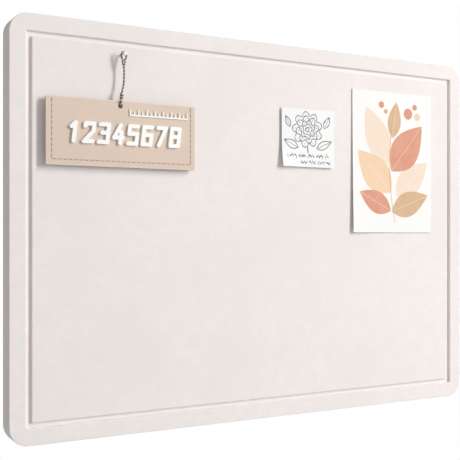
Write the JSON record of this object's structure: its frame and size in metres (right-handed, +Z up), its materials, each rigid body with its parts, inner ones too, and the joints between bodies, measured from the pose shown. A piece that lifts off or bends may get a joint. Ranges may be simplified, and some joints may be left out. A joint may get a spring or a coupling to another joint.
{
  "type": "felt bulletin board",
  "caption": "Rounded felt pin board with a grooved border, keyhole hangers behind, a pinned hanging tag and lifting paper note and print card in front.",
  "frame": {"origin": "centre of the board's back face, on the plane of the wall", "axes": "+X right along the board's long side as seen from the front, +Y into the wall, +Z up; the pinning face looks along -Y"},
  "size_m": [0.5994, 0.0376, 0.4344],
  "materials": {
    "felt_front": "pressed polyester felt, matt, warm off-white with faint mottling",
    "felt_core": "pressed polyester felt, matt",
    "felt_back": "pressed polyester felt, matt",
    "steel": "zinc-plated steel, satin",
    "pin_plastic": "white, glossy",
    "twine": "two-ply cotton twine, dark brown and white",
    "tag_leather": "beige grained leather, matt, lighter pressed edges",
    "tag_board": "stiffening board between the two leathers",
    "raised_white": "white, satin",
    "note_paper": "white, uncoated, ink doodle",
    "card_stock": "white card, matt print in terracotta, peach, sand and tan",
    "foam_pad": "white adhesive foam"
  },
  "bodies": {
    "board": {"back_upper": "felt_back", "back_left": "felt_back", "back_seat_left": "felt_back", "back_middle": "felt_back", "back_seat_right": "felt_back", "back_right": "felt_back", "back_lower": "felt_back", "core_sheet": "felt_core", "border_top": "felt_front", "border_left": "felt_front", "border_bottom": "felt_front", "border_right": "felt_front", "centre_panel": "felt_front", "hanger_plate_left": "steel", "hanger_plate_right": "steel", "hanger_screw_left_a": "steel", "hanger_screw_left_b": "steel", "hanger_screw_right_a": "steel", "hanger_screw_right_b": "steel", "note_pad": "foam_pad", "note_top": "note_paper", "card_pad_left": "foam_pad", "card_pad_right": "foam_pad", "card_top": "card_stock"},
    "pin": {"pin_shank": "steel", "pin_head": "pin_plastic"},
    "loop": {"twine_eye": "twine", "twine_knot": "twine"},
    "tag": {"twine_strand": "twine", "twine_stop_knot": "twine", "tag_back_leather": "tag_leather", "tag_front_leather": "tag_leather", "tag_stiffener": "tag_board", "tag_figure_1": "raised_white", "tag_figure_2": "raised_white", "tag_figure_3": "raised_white", "tag_figure_4": "raised_white", "tag_figure_5": "raised_white", "tag_figure_6": "raised_white", "tag_figure_7": "raised_white", "tag_figure_8": "raised_white", "tag_scale": "raised_white"},
    "note_flap": {"note_leaf": "note_paper"},
    "card_flap": {"card_leaf": "card_stock"}
  },
  "joints": [
    {"name": "pin_pull", "type": "slide", "parent": "board", "child": "pin", "axis": [0, -1, 0], "range_m": [0, 0.0105]},
    {"name": "tag_swing", "type": "hinge", "parent": "pin", "child": "loop", "pos_m": [-0.1816, -0.0331, 0.184], "axis": [0, 1, 0], "range_deg": [-75, 75]},
    {"name": "tag_tilt", "type": "hinge", "parent": "loop", "child": "tag", "pos_m": [-0.1816, -0.0331, 0.1746], "axis": [-1, 0, 0], "range_deg": [-1, 60]},
    {"name": "note_lift", "type": "hinge", "parent": "board", "child": "note_flap", "pos_m": [0.0555, -0.02695, 0.1282], "axis": [-1, 0, 0], "range_deg": [0, 100], "stiffness_Nm_per_rad": 0.002},
    {"name": "card_lift", "type": "hinge", "parent": "board", "child": "card_flap", "pos_m": [0.1847, -0.02575, 0.1606], "axis": [-1, 0, 0], "range_deg": [0, 90], "stiffness_Nm_per_rad": 0.02}
  ]
}
